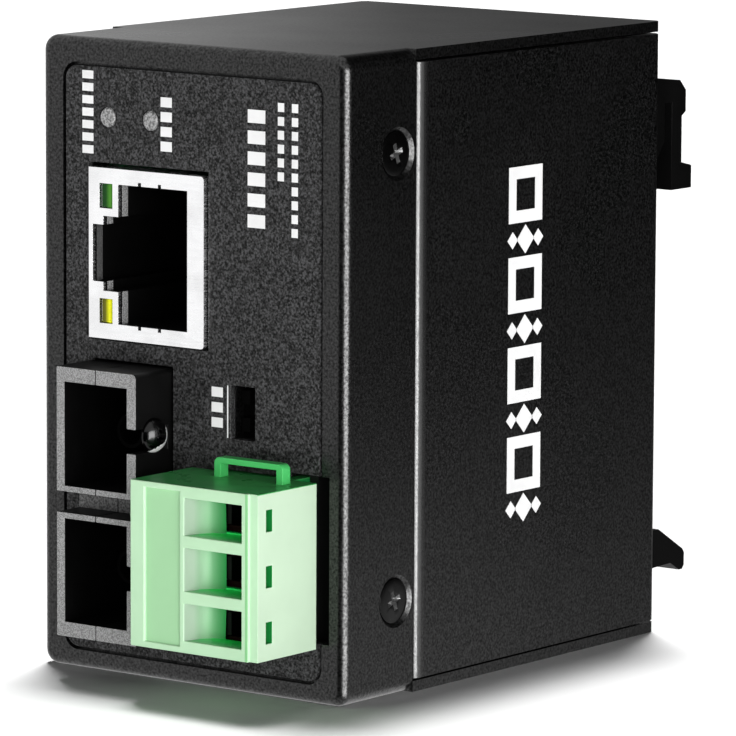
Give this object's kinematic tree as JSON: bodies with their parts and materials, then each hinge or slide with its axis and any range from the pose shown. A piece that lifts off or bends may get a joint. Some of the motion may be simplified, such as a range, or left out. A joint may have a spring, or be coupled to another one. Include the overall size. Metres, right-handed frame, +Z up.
{
  "type": "fibre media converter",
  "caption": "Compact rail-mounted fibre media converter with a copper network socket, a duplex fibre port, an option switch and a pluggable power terminal.",
  "frame": {"origin": "centre of the case's bottom face, where it stands", "axes": "+X to the right seen from the front, +Y to the back (towards the rail), +Z up"},
  "size_m": [0.036, 0.0673, 0.059],
  "materials": {
    "case_coat": "black powder coat with a fine speckle, satin",
    "panel_film": "black printed facing, fine matt grain",
    "cover_coat": "black powder coat with a fine speckle, satin",
    "screw_black": "black coated steel, glossy",
    "zinc_steel": "zinc plated steel",
    "shield_steel": "nickel plated sheet, bright",
    "socket_black": "black moulded plastic",
    "led_green_lens": "unlit green lens, translucent",
    "led_yellow_lens": "unlit yellow lens, translucent",
    "gold_wire": "gold flash over spring wire",
    "fibre_black": "black moulded plastic, fine satin",
    "barrel_black": "black moulded guide barrel",
    "optic_can": "plated metal can",
    "shell_screw_chrome": "bright plated screw",
    "board_green": "green solder mask over glass laminate",
    "switch_black": "black moulded plastic",
    "header_black": "black moulded plastic",
    "terminal_green": "light green moulded plastic",
    "tin_plate": "tin plated copper alloy",
    "clamp_dark": "dark plated steel",
    "pipe_grey": "smoked clear plastic, unlit",
    "led_resin": "milky resin",
    "chip_black": "black epoxy moulding",
    "can_sleeve": "dark printed sleeve over aluminium",
    "clip_black": "black glass-filled nylon, satin",
    "spring_steel": "flat spring steel"
  },
  "bodies": {
    "case": {"front_housing": "case_coat", "front_panel": "panel_film", "rear_cover": "cover_coat", "cover_screw_right_low": "screw_black", "cover_screw_right_high": "screw_black", "cover_screw_left_low": "screw_black", "cover_screw_left_high": "screw_black", "socket_shield": "shield_steel", "socket_insert": "socket_black", "socket_led_green": "led_green_lens", "socket_led_yellow": "led_yellow_lens", "socket_contacts": "gold_wire", "fibre_shell_left": "fibre_black", "fibre_shell_right": "fibre_black", "fibre_sleeve_lower": "barrel_black", "fibre_sleeve_upper": "barrel_black", "laser_can": "optic_can", "receiver_can": "optic_can", "optics_board": "board_green", "fibre_shell_screw": "shell_screw_chrome", "option_switch": "switch_black", "power_header": "header_black", "header_pins": "tin_plate", "light_pipe_link": "pipe_grey", "light_pipe_power": "pipe_grey", "led_block": "led_resin", "main_board": "board_green", "power_board": "board_green", "board_spacers": "zinc_steel", "wall_standoffs": "zinc_steel", "board_screws": "zinc_steel", "lan_transformer": "chip_black", "media_chip": "chip_black", "power_coil": "chip_black", "filter_capacitor_1": "can_sleeve", "filter_capacitor_2": "can_sleeve", "rail_clip": "clip_black", "latch_spring": "spring_steel", "clip_screw_1": "zinc_steel", "clip_screw_2": "zinc_steel"},
    "plug": {"terminal_plug": "terminal_green", "contact_1": "tin_plate", "contact_2": "tin_plate", "contact_3": "tin_plate"},
    "clamp_screw_1": {"clamp_screw_1": "clamp_dark"},
    "clamp_cage_1": {"clamp_cage_1": "clamp_dark"},
    "clamp_screw_2": {"clamp_screw_2": "clamp_dark"},
    "clamp_cage_2": {"clamp_cage_2": "clamp_dark"},
    "clamp_screw_3": {"clamp_screw_3": "clamp_dark"},
    "clamp_cage_3": {"clamp_cage_3": "clamp_dark"},
    "option_lever_1": {"option_lever_1": "switch_black"},
    "option_lever_2": {"option_lever_2": "switch_black"},
    "rail_latch": {"rail_latch": "clip_black"}
  },
  "joints": [
    {"name": "plug_pull", "type": "slide", "parent": "case", "child": "plug", "axis": [0, -1, 0], "range_m": [0, 0.01]},
    {"name": "clamp_screw_turn_1", "type": "hinge", "parent": "plug", "child": "clamp_screw_1", "pos_m": [0.004, -0.02793, 0.00765], "axis": [1, 0, 0], "range_deg": [0, 1440]},
    {"name": "clamp_cage_lift_1", "type": "slide", "parent": "plug", "child": "clamp_cage_1", "axis": [-1, 0, 0], "range_m": [0, 0.002]},
    {"name": "clamp_screw_turn_2", "type": "hinge", "parent": "plug", "child": "clamp_screw_2", "pos_m": [0.004, -0.02793, 0.01273], "axis": [1, 0, 0], "range_deg": [0, 1440]},
    {"name": "clamp_cage_lift_2", "type": "slide", "parent": "plug", "child": "clamp_cage_2", "axis": [-1, 0, 0], "range_m": [0, 0.002]},
    {"name": "clamp_screw_turn_3", "type": "hinge", "parent": "plug", "child": "clamp_screw_3", "pos_m": [0.004, -0.02793, 0.01781], "axis": [1, 0, 0], "range_deg": [0, 1440]},
    {"name": "clamp_cage_lift_3", "type": "slide", "parent": "plug", "child": "clamp_cage_3", "axis": [-1, 0, 0], "range_m": [0, 0.002]},
    {"name": "option_lever_slide_1", "type": "slide", "parent": "case", "child": "option_lever_1", "axis": [1, 0, 0], "range_m": [0, 0.0011]},
    {"name": "option_lever_slide_2", "type": "slide", "parent": "case", "child": "option_lever_2", "axis": [1, 0, 0], "range_m": [0, 0.0011]},
    {"name": "rail_latch_pull", "type": "slide", "parent": "case", "child": "rail_latch", "axis": [0, 0, -1], "range_m": [0, 0.0024], "stiffness_N_per_m": 900, "springref_m": -0.001, "deforming": ["latch_spring"]}
  ],
  "couplings": [
    {"joint": "clamp_screw_turn_1", "follows": "clamp_cage_lift_1", "rad_per_m": 12566},
    {"joint": "clamp_screw_turn_2", "follows": "clamp_cage_lift_2", "rad_per_m": 12566},
    {"joint": "clamp_screw_turn_3", "follows": "clamp_cage_lift_3", "rad_per_m": 12566}
  ]
}
